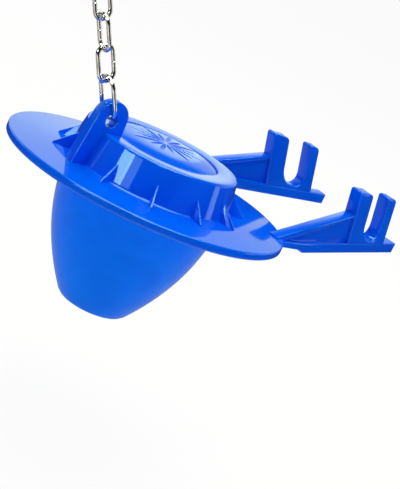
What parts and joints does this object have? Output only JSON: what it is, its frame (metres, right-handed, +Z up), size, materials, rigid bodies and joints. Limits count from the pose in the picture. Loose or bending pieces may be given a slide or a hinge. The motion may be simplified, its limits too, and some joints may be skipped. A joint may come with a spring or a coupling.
{
  "type": "toilet flapper",
  "caption": "Cistern flush flapper: round sealing flange with a hollow drum, gussets, lift lug and chain, float cup beneath, and two arms ending in forked pivot ears.",
  "frame": {"origin": "where the valve axis meets the sealing face under the flange", "axes": "+Z up along the valve axis, away from the seat; +X towards the pivot ears; Y along the pivot axis"},
  "size_m": [0.156, 0.096, 0.1116],
  "materials": {
    "flapper_body": "glossy moulded blue",
    "float_cup": "satin moulded blue",
    "chain_lug_link": "polished wire",
    "chain_link_1": "polished wire",
    "chain_link_2": "polished wire",
    "chain_link_3": "polished wire",
    "chain_end_clip": "polished wire"
  },
  "bodies": {
    "root": {"flapper_body": "flapper_body", "float_cup": "float_cup", "chain_lug_link": "chain_lug_link", "chain_link_1": "chain_link_1", "chain_link_2": "chain_link_2", "chain_link_3": "chain_link_3", "chain_end_clip": "chain_end_clip"}
  },
  "joints": []
}
